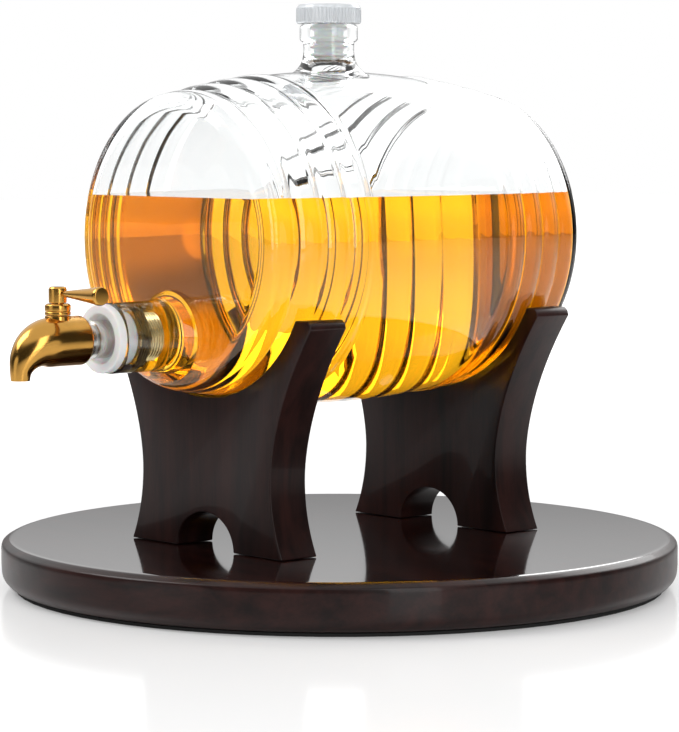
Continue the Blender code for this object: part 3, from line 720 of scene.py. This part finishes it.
class DECANTER_OT_tap(bpy.types.Operator):
    """Gilt tap body with its spout, bonnet, post and lever"""
    bl_idname = "decanter.tap"
    bl_label = "Tap"

    def execute(self, context):
        gilt = gilt_finish(context.scene.finish_colours)
        back, wide, tip = TAP_HIGH[1], 11.3 * MM, 4.3 * MM
        straight, bend, drop = 13.1 * MM, 20 * MM, TUBE_HEIGHT - TAP_LOW[2]
        knots = [(0.0, 0.0, wide, 0.0), (straight, 0, wide, 0)]
        for reach, fall, lean, slim in ((0.35, 0.04, 12, 0.94), (0.65, 0.19, 35, 0.71),
                                        (0.875, 0.46, 60, 0.385), (0.985, 0.75, 80, 0.10),
                                        (1.0, 1.0, 90, 0.0)):
            knots.append((straight + reach * bend, fall * drop, tip + slim * (wide - tip),
                          math.radians(lean)))
        track = smooth_track(knots, 8)
        track[0] = (0.5 * MM, 0, wide, 0)
        ends = [(0, 0, 6.3 * MM, 0), (0, 0, wide - 0.6 * MM, 0), (0.15 * MM, 0, wide - 0.2 * MM, 0)]
        reach, fall, _, lean = track[-1]
        mouth = [(reach, fall, tip - 0.4 * MM, lean), (reach, fall - 0.4 * MM, 3.1 * MM, lean),
                 (reach, fall - 6 * MM, 2.9 * MM, lean)]
        bm = bmesh.new()
        rings = []
        for along, fall, radius, lean in ends + track + mouth:
            ring = []
            for step in range(64):
                angle = math.tau * step / 64
                side, rise = radius * math.cos(angle), radius * math.sin(angle)
                ring.append(bm.verts.new((side, back - along - rise * math.sin(lean),
                                          TUBE_HEIGHT - fall + rise * math.cos(lean))))
            rings.append(ring)
        for low, high in zip(rings, rings[1:]):
            bridge(bm, low, high)
        bm.faces.new(rings[0])
        bm.faces.new(rings[-1])
        body = make_piece("tap_body_cast", bm, gilt, sharp_above=50)
        boss = make_piece("boss_part", turned_mesh(softened(
            [(0, TUBE_HEIGHT), (6.4 * MM, TUBE_HEIGHT), (5.9 * MM, TAP_HIGH[2]), (0, TAP_HIGH[2])],
            0.4 * MM), 64), gilt, (0, VALVE_PLACE, 0))
        cut_with(body, (boss,), "UNION")
        body.data.shade_smooth()
        body.data.set_sharp_from_angle(angle=math.radians(50))
        dress(body, "decanter", "gilt_brass", "tap_body")
        self.bonnet_and_post(gilt)
        return {"FINISHED"}

    def bonnet_and_post(self, gilt):
        low, high = BONNET_LOW[2], BONNET_HIGH[2]
        section = [(2.9 * MM, low), (5.9 * MM, low), (5.9 * MM, low + 1.2 * MM), (5.5 * MM, low + 1.6 * MM),
                   (5.9 * MM, low + 2.0 * MM), (5.9 * MM, high - 0.8 * MM), (4.9 * MM, high), (2.9 * MM, high)]
        bonnet = make_piece("bonnet_turned", turned_mesh(softened(section, 0.3 * MM, 3, True), 64, True),
                            gilt, (0, VALVE_PLACE, 0))
        dress(bonnet, "decanter", "gilt_brass", "bonnet_nut")
        foot, top = POST_LOW[2], POST_HIGH[2]
        profile = [(0, foot + 2.4 * MM), (2.9 * MM, foot + 2.4 * MM), (2.9 * MM, foot), (4.1 * MM, foot),
                   (4.1 * MM, top - 1.0 * MM), (3.4 * MM, top), (0, top)]
        post = make_piece("post_turned", turned_mesh(softened(profile, 0.4 * MM), 64), gilt,
                          (0, VALVE_PLACE, 0))
        dress(post, "valve", "gilt_brass", "lever_post")
        height = centre_of("tap_lever")[2]
        end = LEVER_HIGH[0]
        cone = [(0, 3.0 * MM), (1.3 * MM, 3.0 * MM), (1.4 * MM, 6 * MM), (3.4 * MM, end - 8 * MM),
                (4.3 * MM, end - 1.4 * MM), (4.0 * MM, end), (0, end)]
        lever = make_piece("lever_turned", turned_mesh(softened(cone, 1.0 * MM), 48), gilt,
                           (0, VALVE_PLACE, height), ALONG_X)
        dress(lever, "valve", "gilt_brass", "tap_lever")
        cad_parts["valve_plug"].data.materials.clear()
        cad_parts["valve_plug"].data.materials.append(gilt)
        rubber = rubber_finish("valve_rubber", (0.02, 0.02, 0.02), 700.0)
        for node in ("plug_ring_1", "plug_ring_2"):
            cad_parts[node].data.materials.clear()
            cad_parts[node].data.materials.append(rubber)


class DECANTER_OT_stage(bpy.types.Operator):
    """Pale floor, white surroundings, soft lamps and the camera"""
    bl_idname = "decanter.stage"
    bl_label = "Stage"

    def execute(self, context):
        self.floor()
        self.surroundings(context.scene)
        for name, where, size, power in (
                ("key", (-0.9, -0.9, 1.3), (0.9, 0.9), 14), ("fill", (1.5, -0.5, 0.7), (0.5, 1.4), 8),
                ("back", (-0.3, 1.4, 1.0), (1.6, 0.8), 14)):
            self.lamp(name, where, size, power)
        self.camera(context.scene)
        context.scene.view_settings.view_transform = "Standard"
        return {"FINISHED"}

    def floor(self):
        bm = bmesh.new()
        bmesh.ops.create_grid(bm, x_segments=1, y_segments=1, size=6)
        shade = Shade("pale_floor")
        shade.set(Base_Color=(0.93, 0.93, 0.93, 1), Roughness=0.12, IOR=1.45)
        path = shade.tree.nodes.new("ShaderNodeLightPath")
        glow = shade.tree.nodes.new("ShaderNodeEmission")
        add = shade.tree.nodes.new("ShaderNodeAddShader")
        seen = Term(shade, path.outputs["Is Camera Ray"])
        through = Term(shade, path.outputs["Is Transmission Ray"])
        distance = shade.node("ShaderNodeVectorMath", {"operation": "LENGTH"}, {0: shade.place()}, "Value")
        far = shade.node("ShaderNodeMapRange", {"interpolation_type": "SMOOTHSTEP"}, {
            "Value": distance, "From Min": 0.5, "From Max": 1.6})
        shade.feed(glow.inputs["Color"], shade.mix(far, (0.2, 0.2, 0.2, 1), (1, 1, 1, 1)))
        shade.feed(glow.inputs["Strength"], (seen + through).clamp())
        output = shade.tree.nodes["Material Output"]
        shade.tree.links.new(shade.surface.outputs[0], add.inputs[0])
        shade.tree.links.new(glow.outputs[0], add.inputs[1])
        shade.tree.links.new(add.outputs[0], output.inputs["Surface"])
        floor = make_piece("studio_floor", bm, shade.material)

    def surroundings(self, scene):
        world = bpy.data.worlds.new("white_studio")
        scene.world = world
        shade = Shade("white_studio", world)
        toward_back = Vector((-math.sin(CAMERA_AZIMUTH), math.cos(CAMERA_AZIMUTH), 0))
        toward_left = Vector((-math.cos(CAMERA_AZIMUTH), -math.sin(CAMERA_AZIMUTH), 0))
        look = shade.node("ShaderNodeTexCoord", {}, {}, "Generated")

        def facing(direction, start, end, low=0.0, high=1.0):
            amount = shade.node("ShaderNodeVectorMath", {"operation": "DOT_PRODUCT"},
                                {0: look, 1: direction}, "Value")
            return shade.node("ShaderNodeMapRange", {"interpolation_type": "SMOOTHSTEP"}, {
                "Value": amount, "From Min": start, "From Max": end, "To Min": low, "To Max": high})

        upward = Vector((0, 0, 1))
        wall = facing(toward_back, 0.15, 0.6) * facing(upward, 0.0, 0.35, 0.16, 1.0)
        ceiling = facing(upward, 0.55, 0.75)
        strip = facing((toward_left * 0.85 - toward_back * 0.5).normalized(), 0.945, 0.965)
        right = facing((-toward_left * 0.80 - toward_back * 0.6).normalized(), 0.965, 0.98)
        shine = (wall + ceiling * 0.9 + strip * 0.9 + right * 0.8 + 0.05).clamp()
        low, high = facing(upward, -0.6, -0.12), facing(upward, 0.42, 0.10)
        clear = facing(toward_back, 0.5, 0.94, 0.68, 0.94) * (0.35 + 0.65 * (low * high))
        path = shade.tree.nodes.new("ShaderNodeLightPath")
        seen, glossy, through = (Term(shade, path.outputs[f"Is {kind} Ray"])
                                 for kind in ("Camera", "Glossy", "Transmission"))
        other = (1 - seen - glossy - through).clamp()
        strength = seen + glossy * shine + through * clear + other * 0.7
        background = shade.tree.nodes["Background"]
        shade.feed(background.inputs["Strength"], strength)
        background.inputs["Color"].default_value = (1, 1, 1, 1)

    def lamp(self, name, where, size, power):
        data = bpy.data.lights.new(name, "AREA")
        data.shape = "RECTANGLE"
        data.size, data.size_y = size
        data.energy = power
        lamp = bpy.data.objects.new(name, data)
        lamp.location = where
        aim = Vector((0, 0, 0.13)) - lamp.location
        lamp.rotation_mode = "QUATERNION"
        lamp.rotation_quaternion = aim.to_track_quat("-Z", "Y")
        bpy.context.scene.collection.objects.link(lamp)

    def camera(self, scene):
        azimuth, distance, height, aim_height = CAMERA_AZIMUTH, 1.485, 0.2258, 0.1068
        focal_pixels, frame_width_pixels, film_mm = 3050, 679, 36
        data = bpy.data.cameras.new("studio_camera")
        data.sensor_fit = "HORIZONTAL"
        data.sensor_width = film_mm
        data.lens = film_mm * focal_pixels / frame_width_pixels
        camera = bpy.data.objects.new("studio_camera", data)
        camera.location = (math.sin(azimuth) * distance, -math.cos(azimuth) * distance, height)
        aim = Vector((0, 0, aim_height)) - camera.location
        camera.rotation_mode = "QUATERNION"
        camera.rotation_quaternion = aim.to_track_quat("-Z", "Y")
        scene.collection.objects.link(camera)
        scene.camera = camera


OPERATORS = (DECANTER_OT_board, DECANTER_OT_cradles, DECANTER_OT_glass, DECANTER_OT_drink,
             DECANTER_OT_stopper, DECANTER_OT_bung, DECANTER_OT_tap, DECANTER_OT_stage)


class DECANTER_PT_panel(bpy.types.Panel):
    """Lists the pieces that can be made"""
    bl_label = "Barrel decanter"
    bl_idname = "DECANTER_PT_panel"
    bl_space_type = "VIEW_3D"
    bl_region_type = "UI"
    bl_category = "Decanter"

    def draw(self, context):
        for operator in OPERATORS:
            self.layout.operator(operator.bl_idname)
        for group in (context.scene.barrel_sizes, context.scene.finish_colours):
            for key in group.bl_rna.properties.keys():
                if key not in ("rna_type", "name"):
                    self.layout.prop(group, key)


CLASSES = (BarrelSizes, FinishColours, *OPERATORS, DECANTER_PT_panel)


def register():
    for made in CLASSES:
        bpy.utils.register_class(made)
    bpy.types.Scene.barrel_sizes = bpy.props.PointerProperty(type=BarrelSizes)
    bpy.types.Scene.finish_colours = bpy.props.PointerProperty(type=FinishColours)


def unregister():
    del bpy.types.Scene.finish_colours
    del bpy.types.Scene.barrel_sizes
    for made in reversed(CLASSES):
        bpy.utils.unregister_class(made)


def main():
    register()
    for operator in OPERATORS:
        group, call = operator.bl_idname.split(".")
        getattr(getattr(bpy.ops, group), call)()


if __name__ == "__main__":
    main()
